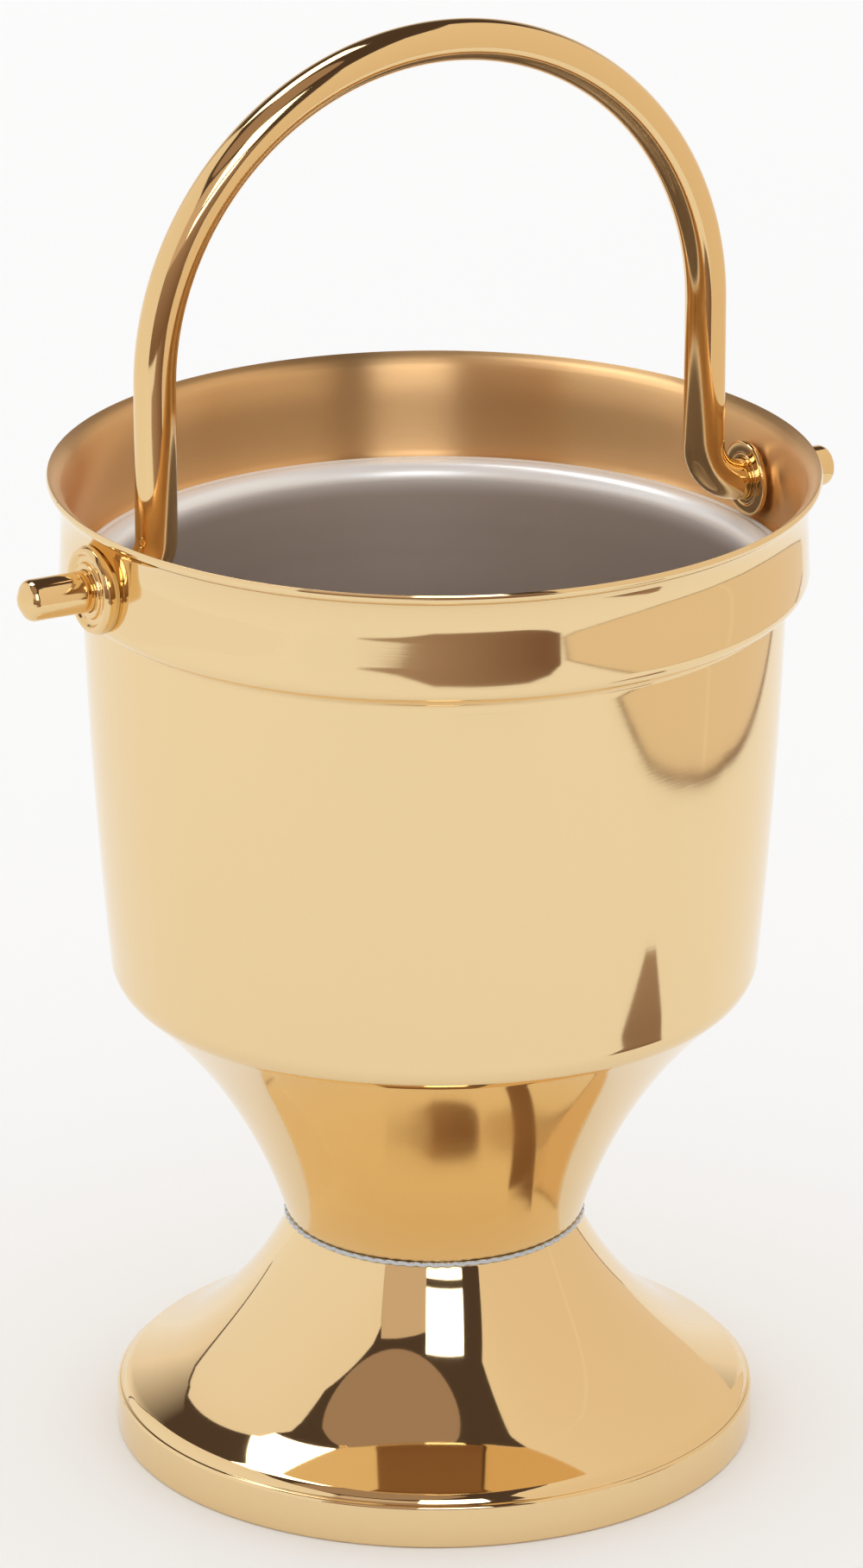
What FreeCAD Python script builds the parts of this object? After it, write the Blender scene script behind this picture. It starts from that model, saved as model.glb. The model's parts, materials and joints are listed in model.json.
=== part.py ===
import FreeCAD, Part
import Sketcher
import math
import os
import re

# Holy-water pot: a spun bowl bolted to a spun foot, with a captive liner and a bail.
# Frame: +Z up, origin at the centre of the foot's resting plane, bail pivots along X.
# Millimetres. Driving sizes live in the sheet "Sizes", sizes that follow from them in
# the variable set "Fits", and every object below is bound to one or the other.

Vector = FreeCAD.Vector
UPRIGHT = FreeCAD.Rotation(Vector(1, 0, 0), 90)
ALONG_X = FreeCAD.Rotation(Vector(0, 1, 0), 90)
V_AXIS = -2
H_AXIS = -1
ORIGIN = (-1, 1)

doc = FreeCAD.newDocument("HolyWaterPot")


# ---------------------------------------------------------------- driving sizes

SIZES = {
    # overall
    "total_height": 178.0,
    "rim_radius": 66.5,
    "foot_radius": 56.3,
    "waist_radius": 26.1,
    "waist_height": 40.6,
    "sheet": 1.2,
    # bowl: drops are measured down from the rim, insets inward from it
    "lip_bead": 1.25,
    "flare_hollow": 0.5,
    "neck_inset": 2.55,
    "neck_drop": 5.7,
    "collar_inset": 2.0,
    "collar_drop": 18.0,
    "collar_corner": 3.0,
    "crease_drop": 1.2,
    "wall_inset": 5.9,
    "wall_taper": 4.0,
    "wall_bulge": 0.55,
    "wall_height": 67.0,
    "shoulder_inset": 2.7,
    "shoulder_depth": 5.7,
    "shoulder_bulge": 0.8,
    "taper_hollow": 3.55,
    # foot
    "band_height": 7.2,
    "band_corner": 0.7,
    "brow_inset": 2.1,
    "brow_rise": 2.3,
    "brow_bulge": 0.15,
    "instep_inset": 8.6,
    "instep_rise": 4.9,
    "instep_hollow": 2.1,
    "tread_hollow": 0.22,
    "neck_shrink": 0.5,
    "hem_width": 3.2,
    # waist joint and its clamp
    "ring_thickness": 0.8,
    "ring_overhang": 0.45,
    "bolt_radius": 3.0,
    "bolt_length": 18.0,
    "bolt_clearance": 0.3,
    "hex_margin": 4.0,
    "head_height": 4.0,
    "nut_height": 5.0,
    "bolt_washer_land": 6.0,
    "bolt_washer_thickness": 1.2,
    "foot_washer_land": 12.0,
    "foot_washer_thickness": 1.6,
    "spring_washer_land": 2.2,
    "spring_washer_thickness": 1.5,
    "spring_washer_split": 1.0,
    # liner
    "liner_sheet": 0.8,
    "liner_edge": 0.7,
    "liner_gap": 1.2,
    "liner_draft": 2.4,
    "liner_floor_gap": 2.2,
    "liner_mouth_corner": 3.0,
    "liner_floor_corner": 7.0,
    # bail
    "rod_radius": 3.6,
    "hook_radius": 7.5,
    "crown_rise": 78.6,
    "stub_length": 12.5,
    "bail_end_play": 0.35,
    # bushes and their washers
    "running_clearance": 0.05,
    "seat_clearance": 0.05,
    "fitting_gap": 0.1,
    "washer_lift": 0.3,
    "bush_wall": 0.9,
    "bush_hub_land": 0.35,
    "bush_dish_width": 1.0,
    "bush_dish_depth": 0.7,
    "bush_rim_width": 1.8,
    "bush_flange_thickness": 1.6,
    "washer_land": 2.15,
    "washer_thickness": 1.3,
    "washer_rounding": 0.45,
}

FITS = {
    # bowl
    "neck_radius": "rim_radius - neck_inset",
    "collar_radius": "rim_radius - collar_inset",
    "lip_line_radius": "rim_radius - 0.26 * lip_bead",
    "lip_line_height": "total_height - 1.66 * lip_bead",
    "neck_height": "total_height - neck_drop",
    "collar_height": "total_height - collar_drop",
    "ledge_height": "collar_height - collar_corner",
    "wall_radius": "rim_radius - wall_inset",
    "wall_foot_radius": "wall_radius - wall_taper",
    "wall_foot_height": "ledge_height - wall_height",
    "clamp_hole": "bolt_radius + bolt_clearance",
    # waist joint, from the bowl's floor up and from the foot's crown down
    "foot_top": "waist_height - ring_thickness",
    "head_seat": "waist_height + sheet + bolt_washer_thickness",
    "foot_crown": "foot_top - sheet",
    "spring_seat": "foot_crown - foot_washer_thickness",
    "nut_seat": "spring_seat - spring_washer_thickness",
    "hex_flats": "2 * bolt_radius + hex_margin",
    # liner
    "liner_seat": "ledge_height + sheet",
    "liner_top": "liner_seat + liner_sheet",
    "liner_flange": "collar_radius - collar_corner + liner_edge",
    "liner_mouth": "wall_radius - sheet - liner_gap",
    "liner_base": "wall_foot_height + liner_floor_gap",
    "liner_floor": "liner_base + liner_sheet",
    "liner_foot": "liner_mouth - liner_draft",
    "liner_flat": "liner_foot - liner_sheet - liner_floor_corner",
    # bushes and washers: radii about the pivot, reaches along it
    "bush_bore": "rod_radius + running_clearance",
    "bush_barrel": "bush_bore + bush_wall",
    "bush_hub": "bush_barrel + bush_hub_land",
    "bush_dish": "bush_hub + bush_dish_width",
    "bush_flange": "bush_dish + bush_rim_width",
    "washer_radius": "bush_barrel + washer_land",
    "pivot_height": "liner_top + washer_lift + washer_radius",
    "flare": "(lip_line_radius - neck_radius) / (lip_line_height - neck_height)",
    "flare_reach": "neck_radius + flare * (pivot_height + bush_flange - neck_height)",
    "bush_seat": "max(collar_radius; flare_reach) + fitting_gap",
    "bush_face": "bush_seat + bush_flange_thickness",
    "washer_back": "sqrt((neck_radius - sheet)^2 - washer_radius^2) - fitting_gap",
    "bush_end": "washer_back - washer_thickness",
    # bail
    "stub_root": "bush_end - bail_end_play",
    "leg_reach": "stub_root - hook_radius",
    "stub_reach": "bush_face + stub_length",
    "crown_height": "total_height + crown_rise - rod_radius",
    "spring_line": "crown_height - leg_reach",
}

FUNCTIONS = ("sqrt", "max")

sheet = doc.addObject("Spreadsheet::Sheet", "Sizes")
for row, (alias, size) in enumerate(SIZES.items(), start=1):
    sheet.set(f"A{row}", alias)
    sheet.set(f"B{row}", str(size))
    sheet.setAlias(f"B{row}", alias)
doc.recompute()


# ---------------------------------------------------------------- helpers

def bound(text):
    """Write an expression in plain names as the document reads it."""
    def full(match):
        word = match.group()
        if word in FUNCTIONS:
            return word
        return ("Fits." if word in FITS else "Sizes.") + word
    return re.sub(r"[a-z]+(?:_[a-z]+)*", full, text)


def value(text):
    """Evaluate an expression in plain names."""
    return float(sheet.evalExpression(bound(text)))


def tie(target, prop, text):
    """Bind one property of an object to an expression in plain names."""
    target.setExpression(prop, bound(text))


fits = doc.addObject("App::VarSet", "Fits")
for fit, formula in FITS.items():
    fits.addProperty("App::PropertyFloat", fit)
    tie(fits, fit, formula)
    doc.recompute()


def quarter(radius):
    """Bulge of a quarter round of the given radius."""
    return f"(1 - sqrt(0.5)) * ({radius})"


def dimension(sketch, text, kind, *where):
    """Add a sketch dimension bound to an expression."""
    number = sketch.addConstraint(Sketcher.Constraint(kind, *where, value(text)))
    tie(sketch, f"Constraints[{number}]", text)


def place_vertex(sketch, vertex, corner):
    """Fix a sketch vertex at (radius, height), each an expression or "0"."""
    for kind, axis, text in zip(("DistanceX", "DistanceY"), (V_AXIS, H_AXIS), corner):
        if text == "0":
            sketch.addConstraint(Sketcher.Constraint("PointOnObject", *vertex, axis))
        else:
            dimension(sketch, text, kind, *ORIGIN, *vertex)


def outline(sketch, corners, closed=True):
    """Draw a chain of lines and arcs through corners of (radius, height, bulge).

    Each entry is an expression. The bulge, where given, turns the stretch that starts at
    its corner into an arc of that depth: left of the chord, or right with a leading minus.
    """
    stretches = list(zip(corners, corners[1:] + corners[:1]))
    if not closed:
        stretches.pop()
    opening = None
    previous = None
    for start, finish in stretches:
        first = Vector(value(start[0]), value(start[1]), 0)
        last = Vector(value(finish[0]), value(finish[1]), 0)
        if len(start) == 2:
            line = sketch.addGeometry(Part.LineSegment(first, last))
            ends = ((line, 1), (line, 2))
        else:
            ends = add_arc(sketch, first, last, start, finish)
        if previous is None:
            opening = ends[0]
            place_vertex(sketch, ends[0], start[:2])
        else:
            sketch.addConstraint(Sketcher.Constraint("Coincident", *previous, *ends[0]))
        if closed and finish is corners[0]:
            sketch.addConstraint(Sketcher.Constraint("Coincident", *ends[1], *opening))
        else:
            place_vertex(sketch, ends[1], finish[:2])
        previous = ends[1]


def add_arc(sketch, first, last, start, finish):
    """Add an arc by its bulge, with the radius bound to the chord and the bulge."""
    bulge = start[2]
    across = f"({finish[0]} - ({start[0]}))"
    rise = f"({finish[1]} - ({start[1]}))"
    depth = bulge.lstrip("-")
    formula = f"({across}^2 + {rise}^2) / (8 * ({depth})) + ({depth}) / 2"
    radius = value(formula)
    clockwise = not bulge.startswith("-")
    chord = last - first
    left = Vector(-chord.y, chord.x, 0).normalize()
    inward = value(depth) - radius
    centre = (first + last) * 0.5 + left * (inward if clockwise else -inward)
    angles = [math.atan2(point.y - centre.y, point.x - centre.x) for point in (first, last)]
    if clockwise:
        angles.reverse()
    circle = Part.Circle(centre, Vector(0, 0, 1), radius)
    arc = sketch.addGeometry(Part.ArcOfCircle(circle, *angles))
    dimension(sketch, formula, "Radius", arc)
    return ((arc, 2), (arc, 1)) if clockwise else ((arc, 1), (arc, 2))


def plane_of(body, role):
    """One of a body's own origin planes or axes."""
    return next(f for f in body.Origin.OriginFeatures if f.Role == role)


def new_body(name):
    """A PartDesign body whose label names the sub-part."""
    body = doc.addObject("PartDesign::Body", name)
    body.Label = name
    return body


def body_sketch(body, name, role):
    """A sketch on one of the body's origin planes."""
    sketch = body.newObject("Sketcher::SketchObject", name)
    sketch.AttachmentSupport = (plane_of(body, role), [""])
    sketch.MapMode = "FlatFace"
    return sketch


def turned(body, name, corners):
    """Revolve a closed outline about the body's Z axis."""
    sketch = body_sketch(body, name + "_outline", "XZ_Plane")
    outline(sketch, corners)
    turning = body.newObject("PartDesign::Revolution", name + "_turning")
    turning.Profile = sketch
    turning.ReferenceAxis = (plane_of(body, "Z_Axis"), [""])
    turning.Angle = 360
    doc.recompute()
    return turning


def spun_sheet(name, corners):
    """Spin sheet metal: offset an outer line inward by the sheet and revolve it."""
    line = doc.addObject("Sketcher::SketchObject", name + "_line")
    line.Placement = FreeCAD.Placement(Vector(0, 0, 0), UPRIGHT)
    outline(line, corners, closed=False)
    doc.recompute()
    section = doc.addObject("Part::Offset2D", name + "_section")
    section.Source = line
    section.Mode = "Skin"
    section.Join = 0
    section.Fill = True
    tie(section, "Value", "-sheet")
    spun = doc.addObject("Part::Revolution", name + "_spun")
    spun.Source = section
    spun.Axis = Vector(0, 0, 1)
    spun.Base = Vector(0, 0, 0)
    spun.Angle = 360
    spun.Solid = True
    doc.recompute()
    return spun


# ---------------------------------------------------------------- bowl and foot

def make_bowl():
    """Spun bowl: beaded lip, flared neck, round-cornered collar, ledge, wall, taper."""
    spun = spun_sheet("bowl", [
        ("lip_line_radius", "lip_line_height", "-flare_hollow"),
        ("neck_radius", "neck_height"),
        ("collar_radius", "collar_height", quarter("collar_corner")),
        ("collar_radius - collar_corner", "ledge_height"),
        ("wall_radius", "ledge_height - crease_drop", "wall_bulge"),
        ("wall_foot_radius", "wall_foot_height", "shoulder_bulge"),
        ("wall_foot_radius - shoulder_inset", "wall_foot_height - shoulder_depth",
         "-taper_hollow"),
        ("waist_radius", "waist_height"),
        ("clamp_hole", "waist_height"),
    ])
    bead = doc.addObject("Part::Torus", "lip_roll")
    tie(bead, "Radius1", "rim_radius - lip_bead")
    tie(bead, "Radius2", "lip_bead")
    tie(bead, "Placement.Base.z", "total_height - lip_bead")
    beaded = doc.addObject("Part::Fuse", "beaded_bowl")
    beaded.Base = spun
    beaded.Tool = bead
    bore = doc.addObject("Part::Cylinder", "bush_hole")
    bore.Placement = FreeCAD.Placement(Vector(0, 0, 0), ALONG_X)
    tie(bore, "Radius", "bush_barrel + seat_clearance")
    tie(bore, "Height", "2 * stub_reach")
    tie(bore, "Placement.Base.x", "-stub_reach")
    tie(bore, "Placement.Base.z", "pivot_height")
    shell = doc.addObject("Part::Cut", "bowl_shell")
    shell.Base = beaded
    shell.Tool = bore
    return shell


def make_foot():
    """Spun bell foot: flat crown, hollow instep, shallow tread, upright band, hem."""
    brow_radius = "foot_radius - brow_inset"
    brow_height = "band_height + brow_rise"
    shell = spun_sheet("foot", [
        ("clamp_hole", "foot_top"),
        ("waist_radius - neck_shrink", "foot_top", "-instep_hollow"),
        (f"{brow_radius} - instep_inset", f"{brow_height} + instep_rise", "-tread_hollow"),
        (brow_radius, brow_height, "brow_bulge"),
        ("foot_radius - band_corner", "band_height + band_corner", quarter("band_corner")),
        ("foot_radius", "band_height"),
        ("foot_radius", "band_corner", quarter("band_corner")),
        ("foot_radius - band_corner", "0"),
        ("foot_radius - hem_width", "0"),
    ])
    shell.Label = "foot_shell"
    return shell


# ---------------------------------------------------------------- waist joint

def make_ring(name, inner, outer, low, high):
    """A flat ring between two radii and two heights."""
    body = new_body(name)
    turned(body, name, [(inner, low), (outer, low), (outer, high), (inner, high)])
    return body


def make_joint_ring():
    """Pale ring trapped between the foot and the bowl."""
    return make_ring("joint_ring", "clamp_hole", "waist_radius + ring_overhang",
                     "foot_top", "waist_height")


def make_bolt_washer():
    """Flat washer between the bolt's head and the bowl's floor."""
    return make_ring("bolt_washer", "clamp_hole", "bolt_radius + bolt_washer_land",
                     "waist_height + sheet", "head_seat")


def make_foot_washer():
    """Broad washer that spreads the clamp under the foot's crown."""
    return make_ring("foot_washer", "clamp_hole", "bolt_radius + foot_washer_land",
                     "spring_seat", "foot_crown")


def make_spring_washer():
    """Split lock washer: a ring cut through by a slanting slot on one side."""
    outer = "bolt_radius + spring_washer_land"
    body = make_ring("spring_washer", "clamp_hole", outer, "nut_seat", "spring_seat")
    slot = body_sketch(body, "spring_washer_slot", "YZ_Plane")
    half = "spring_washer_split / 2"
    outline(slot, [
        (f"-3 * {half}", "nut_seat"),
        (f"-{half}", "nut_seat"),
        (f"3 * {half}", "spring_seat"),
        (half, "spring_seat"),
    ])
    split = body.newObject("PartDesign::Pocket", "spring_washer_gap")
    split.Profile = slot
    split.Reversed = True
    tie(split, "Length", outer)
    doc.recompute()
    return body


def hexagon(body, name, low, height):
    """Pad the clamp's hexagon upward from a height."""
    sketch = body_sketch(body, name + "_hexagon", "XY_Plane")
    tie(sketch, "AttachmentOffset.Base.z", low)
    reach = value("hex_flats / sqrt(3)")
    circle = sketch.addGeometry(Part.Circle(Vector(0, 0, 0), Vector(0, 0, 1), reach), True)
    sketch.addConstraint(Sketcher.Constraint("Coincident", circle, 3, *ORIGIN))
    dimension(sketch, "hex_flats / sqrt(3)", "Radius", circle)
    turns = [math.radians(60 * side) for side in range(6)]
    points = [Vector(reach * math.cos(turn), reach * math.sin(turn), 0) for turn in turns]
    sides = [sketch.addGeometry(Part.LineSegment(first, last))
             for first, last in zip(points, points[1:] + points[:1])]
    for side, following in zip(sides, sides[1:] + sides[:1]):
        sketch.addConstraint(Sketcher.Constraint("Coincident", side, 2, following, 1))
        sketch.addConstraint(Sketcher.Constraint("PointOnObject", side, 1, circle))
        if side != sides[0]:
            sketch.addConstraint(Sketcher.Constraint("Equal", side, sides[0]))
    sketch.addConstraint(Sketcher.Constraint("PointOnObject", sides[0], 1, H_AXIS))
    pad = body.newObject("PartDesign::Pad", name + "_pad")
    pad.Profile = sketch
    tie(pad, "Length", height)
    doc.recompute()


def make_clamp_bolt():
    """Hexagon-head bolt standing head-up on the bowl's floor."""
    body = new_body("clamp_bolt")
    hexagon(body, "clamp_bolt", "head_seat", "head_height")
    tip = "head_seat - bolt_length"
    turned(body, "clamp_bolt_shank", [
        ("0", "head_seat + 0.5 * head_height"),
        ("0", tip),
        ("0.8 * bolt_radius", tip),
        ("bolt_radius", f"{tip} + 0.3 * bolt_radius"),
        ("bolt_radius", "head_seat + 0.5 * head_height"),
    ])
    return body


def make_clamp_nut():
    """Hexagon nut that pulls the foot and the bowl together."""
    body = new_body("clamp_nut")
    hexagon(body, "clamp_nut", "nut_seat - nut_height", "nut_height")
    sketch = body_sketch(body, "clamp_nut_bore", "XY_Plane")
    tie(sketch, "AttachmentOffset.Base.z", "nut_seat - nut_height")
    circle = sketch.addGeometry(
        Part.Circle(Vector(0, 0, 0), Vector(0, 0, 1), value("bolt_radius")))
    sketch.addConstraint(Sketcher.Constraint("Coincident", circle, 3, *ORIGIN))
    dimension(sketch, "bolt_radius", "Radius", circle)
    hole = body.newObject("PartDesign::Pocket", "clamp_nut_hole")
    hole.Profile = sketch
    hole.Reversed = True
    tie(hole, "Length", "nut_height")
    doc.recompute()
    return body


# ---------------------------------------------------------------- liner

def make_liner():
    """Drawn cup whose flange lies on the bowl's ledge, with its edge turned up."""
    body = new_body("liner")
    mouth = "liner_mouth - liner_sheet"
    turned(body, "liner", [
        ("liner_flange - liner_edge", "liner_seat", "-" + quarter("liner_edge")),
        ("liner_flange", "liner_seat + liner_edge"),
        ("liner_flange", "liner_top"),
        (f"{mouth} + liner_mouth_corner", "liner_top", "-" + quarter("liner_mouth_corner")),
        (mouth, "liner_top - liner_mouth_corner"),
        ("liner_foot - liner_sheet", "liner_floor + liner_floor_corner",
         quarter("liner_floor_corner")),
        ("liner_flat", "liner_floor"),
        ("0", "liner_floor"),
        ("0", "liner_base"),
        ("liner_flat", "liner_base", "-" + quarter("liner_floor_corner + liner_sheet")),
        ("liner_foot", "liner_floor + liner_floor_corner"),
        ("liner_mouth", "liner_top - liner_mouth_corner",
         quarter("liner_mouth_corner - liner_sheet")),
        (f"{mouth} + liner_mouth_corner", "liner_seat"),
    ])
    return body


# ---------------------------------------------------------------- bail and its bearings

def make_bail():
    """Bent rod: semicircular crown, straight legs, hooks and outward pivot stubs."""
    body = new_body("bail_handle")
    hook = "-" + quarter("hook_radius")
    crown = quarter("leg_reach")
    path = body_sketch(body, "bail_path", "XZ_Plane")
    outline(path, [
        ("-stub_reach", "pivot_height"),
        ("-stub_root", "pivot_height", hook),
        ("-leg_reach", "pivot_height + hook_radius"),
        ("-leg_reach", "spring_line", crown),
        ("0", "crown_height", crown),
        ("leg_reach", "spring_line"),
        ("leg_reach", "pivot_height + hook_radius", hook),
        ("stub_root", "pivot_height"),
        ("stub_reach", "pivot_height"),
    ], closed=False)
    section = body_sketch(body, "bail_section", "YZ_Plane")
    tie(section, "AttachmentOffset.Base.z", "-stub_reach")
    middle = Vector(0, value("pivot_height"), 0)
    circle = section.addGeometry(Part.Circle(middle, Vector(0, 0, 1), value("rod_radius")))
    section.addConstraint(Sketcher.Constraint("PointOnObject", circle, 3, V_AXIS))
    dimension(section, "pivot_height", "DistanceY", *ORIGIN, circle, 3)
    dimension(section, "rod_radius", "Radius", circle)
    doc.recompute()
    sweep = body.newObject("PartDesign::AdditivePipe", "bail_sweep")
    sweep.Profile = section
    sweep.Spine = (path, [f"Edge{number + 1}" for number in range(path.GeometryCount)])
    doc.recompute()
    reach = value("stub_reach")
    ends = [f"Edge{number}" for number, edge in enumerate(sweep.Shape.Edges, start=1)
            if all(abs(abs(vertex.X) - reach) < 1e-3 for vertex in edge.Vertexes)]
    rounding = body.newObject("PartDesign::Fillet", "bail_stub_ends")
    rounding.Base = (sweep, ends)
    tie(rounding, "Radius", "0.4 * rod_radius")
    doc.recompute()
    return body


def lay_on_pivot(body, side):
    """Turn a piece made about Z so that its Z axis runs outward along the pivot."""
    outward = FreeCAD.Rotation(Vector(0, 1, 0), 90 * side)
    body.Placement = FreeCAD.Placement(Vector(0, 0, 0), outward)
    tie(body, "Placement.Base.z", "pivot_height")


def make_bush(name, side):
    """Flanged eyelet: dished flange and hub outside, barrel through the wall."""
    body = new_body(name)
    floor = "bush_face - bush_dish_depth"
    turned(body, name, [
        ("bush_bore", "bush_end"),
        ("bush_barrel", "bush_end"),
        ("bush_barrel", "bush_seat"),
        ("bush_flange - 0.3 * bush_rim_width", "bush_seat"),
        ("bush_flange", "bush_seat + 0.5 * bush_flange_thickness"),
        ("bush_flange - 0.3 * bush_rim_width", "bush_face"),
        ("bush_flange - 0.7 * bush_rim_width", "bush_face"),
        ("bush_dish", floor),
        ("bush_hub", floor),
        ("bush_hub - 0.5 * bush_hub_land", "bush_face"),
        ("bush_bore", "bush_face"),
    ])
    lay_on_pivot(body, side)
    return body


def make_bush_washer(name, side):
    """Ring pressed on the bush's barrel against the inside of the collar."""
    body = new_body(name)
    turned(body, name, [
        ("bush_barrel", "bush_end"),
        ("washer_radius - washer_rounding", "bush_end", "-" + quarter("washer_rounding")),
        ("washer_radius", "bush_end + washer_rounding"),
        ("washer_radius", "washer_back"),
        ("bush_barrel", "washer_back"),
    ])
    lay_on_pivot(body, side)
    return body


# ---------------------------------------------------------------- build, check, write

sub_parts = [
    make_bowl(),
    make_foot(),
    make_joint_ring(),
    make_clamp_bolt(),
    make_bolt_washer(),
    make_foot_washer(),
    make_spring_washer(),
    make_clamp_nut(),
    make_liner(),
    make_bail(),
]
for hand, side in (("left", -1), ("right", 1)):
    sub_parts.append(make_bush(f"bush_{hand}", side))
    sub_parts.append(make_bush_washer(f"bush_washer_{hand}", side))
doc.recompute()

for item in doc.Objects:
    if "Invalid" in item.State or "Error" in item.State:
        raise RuntimeError(f"{item.Label} failed: {item.State}")
for item in sub_parts:
    if item.Shape.isNull() or not item.Shape.isValid():
        raise RuntimeError(f"{item.Label} has no valid shape")
    if len(item.Shape.Solids) != 1:
        raise RuntimeError(f"{item.Label} is not one solid")

os.makedirs("parts", exist_ok=True)
for item in sub_parts:
    item.Shape.exportStep(os.path.join("parts", item.Label + ".step"))
    print(f"{item.Label:20s} {len(item.Shape.Solids)} solid, {item.Shape.Volume:9.1f} mm3")
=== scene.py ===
"""Footed holy-water pot: meshes, finishes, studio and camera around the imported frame.

Lengths are metres in the frame's axes: +Z up, the bail's pivot along X, the origin at
the centre of the foot's resting plane. Turned pieces are traced as an outline of radius
and height and spun round their axis.
"""
import json
import logging
import math
from dataclasses import dataclass, field
from enum import Enum
from typing import Callable, Sequence

import bmesh
import bpy
from mathutils import Matrix, Vector


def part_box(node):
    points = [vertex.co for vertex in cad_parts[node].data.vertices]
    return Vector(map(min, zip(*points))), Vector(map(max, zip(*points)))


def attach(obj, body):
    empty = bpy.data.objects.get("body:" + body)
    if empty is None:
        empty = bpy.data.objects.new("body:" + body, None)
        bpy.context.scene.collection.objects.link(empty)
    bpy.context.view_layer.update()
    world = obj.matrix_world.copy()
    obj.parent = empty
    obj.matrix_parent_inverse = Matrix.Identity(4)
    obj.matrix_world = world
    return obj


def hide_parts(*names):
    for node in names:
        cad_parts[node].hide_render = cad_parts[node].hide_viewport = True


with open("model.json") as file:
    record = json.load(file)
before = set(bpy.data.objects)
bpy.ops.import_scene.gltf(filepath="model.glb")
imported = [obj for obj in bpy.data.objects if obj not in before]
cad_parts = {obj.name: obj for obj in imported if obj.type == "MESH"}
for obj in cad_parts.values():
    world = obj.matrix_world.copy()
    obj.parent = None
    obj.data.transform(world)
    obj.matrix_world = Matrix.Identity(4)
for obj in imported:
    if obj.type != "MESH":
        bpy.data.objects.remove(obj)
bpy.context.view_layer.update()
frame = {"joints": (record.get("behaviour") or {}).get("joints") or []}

log = logging.getLogger("holy_water_pot")

SEGMENTS = 256
POT_BODY = "pot"
BAIL_BODY = "bail"
FULL_TURN = 2 * math.pi
# A step too small to see, which keeps two corners of a section apart.
HAIR = 0.0001

Point = tuple[float, float]
Rgba = tuple[float, float, float, float]


# ------------------------------------------------------------------ outlines

@dataclass(frozen=True)
class Station:
    """One corner of an outline.

    Attributes:
        radius: Distance from the axis.
        height: Distance along the axis.
        bulge: Depth of the arc that starts here, left of its chord; 0 is straight.
        ease: How far from the corner its rounding begins; 0 leaves it as it is.
    """

    radius: float
    height: float
    bulge: float = 0.0
    ease: float = 0.0


class Outline:
    """An open line of radius and height with some of its corners marked for rounding."""

    def __init__(self, stations: Sequence[Station], step: float = 0.0006) -> None:
        """Trace the stations.

        Args:
            stations: The corners in order.
            step: Greatest distance between points on a curved stretch.
        """
        self.points: list[Vector] = []
        self.eases: dict[int, float] = {}
        for here, there in zip(stations, stations[1:]):
            if here.ease:
                self.eases[len(self.points)] = here.ease
            self.points.extend(self._stretch(here, there, step))
        self.points.append(Vector((stations[-1].radius, stations[-1].height)))

    @staticmethod
    def _stretch(here: Station, there: Station, step: float) -> list[Vector]:
        """Points from one station up to, and not including, the next.

        Args:
            here: Where the stretch starts.
            there: Where it ends.
            step: Greatest distance between points on a curved stretch.

        Returns:
            The points.
        """
        first = Vector((here.radius, here.height))
        last = Vector((there.radius, there.height))
        if not here.bulge:
            count = max(1, round((last - first).length / (8 * step)))
            return [first.lerp(last, index / count) for index in range(count)]
        chord = last - first
        left = Vector((-chord.y, chord.x)).normalized()
        depth = abs(here.bulge)
        radius = chord.length_squared / (8 * depth) + depth / 2
        side = math.copysign(1.0, here.bulge)
        centre = (first + last) / 2 + left * side * (depth - radius)
        begin = math.atan2(first.y - centre.y, first.x - centre.x)
        sweep = -side * 4 * math.atan2(2 * depth, chord.length)
        count = max(6, math.ceil(abs(sweep) * radius / (2 * step)))
        turns = [begin + sweep * index / count for index in range(count)]
        return [centre + radius * Vector((math.cos(turn), math.sin(turn))) for turn in turns]

    def offset(self, distance: float) -> "Outline":
        """A copy moved to the left by a distance, as the other side of a sheet.

        Args:
            distance: How far; negative moves it to the right.

        Returns:
            The moved outline, with the same corners marked.
        """
        moved = Outline.__new__(Outline)
        moved.eases = dict(self.eases)
        ways = [(b - a).normalized() for a, b in zip(self.points, self.points[1:])]
        normals = [Vector((-way.y, way.x)) for way in ways]
        before = [normals[0]] + normals
        after = normals + [normals[-1]]
        moved.points = [
            point + (one + two) * (distance / (1 + one.dot(two)))
            for point, one, two in zip(self.points, before, after)
        ]
        return moved

    def eased(self) -> list[Point]:
        """The line with its marked corners rounded off.

        Returns:
            Points of radius and height.
        """
        line: list[Vector] = []
        for index, point in enumerate(self.points):
            ease = self.eases.get(index)
            if ease and 0 < index < len(self.points) - 1:
                line.extend(self._rounding(index, point, ease))
            elif not self._swallowed(index, point):
                line.append(point)
        return [(point.x, point.y) for point in line]

    def _swallowed(self, index: int, point: Vector) -> bool:
        """Whether a nearby corner's rounding takes this point's place."""
        return any(index != corner and (self.points[corner] - point).length < ease
                   for corner, ease in self.eases.items())

    def _rounding(self, index: int, corner: Vector, ease: float) -> list[Vector]:
        """A short curve that replaces a corner.

        Args:
            index: The corner's number on the line.
            corner: The corner.
            ease: How far from it the rounding begins.

        Returns:
            The curve's points.
        """
        start = self._along(index, -1, ease)
        end = self._along(index, 1, ease)
        steps = [number / 6 for number in range(7)]
        return [start.lerp(corner, t).lerp(corner.lerp(end, t), t) for t in steps]

    def _along(self, index: int, direction: int, distance: float) -> Vector:
        """The point at a straight distance from a corner, walking along the line.

        Args:
            index: The corner's number on the line.
            direction: 1 to walk forward, -1 to walk back.
            distance: The straight distance.

        Returns:
            The point.
        """
        corner = self.points[index]
        walk = index
        while 0 < walk + direction < len(self.points) - 1 and \
                (self.points[walk + direction] - corner).length < distance:
            walk += direction
        inner = self.points[walk]
        outer = self.points[walk + direction]
        near = (inner - corner).length
        far = max((outer - corner).length, distance)
        return inner.lerp(outer, (distance - near) / (far - near))


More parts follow.
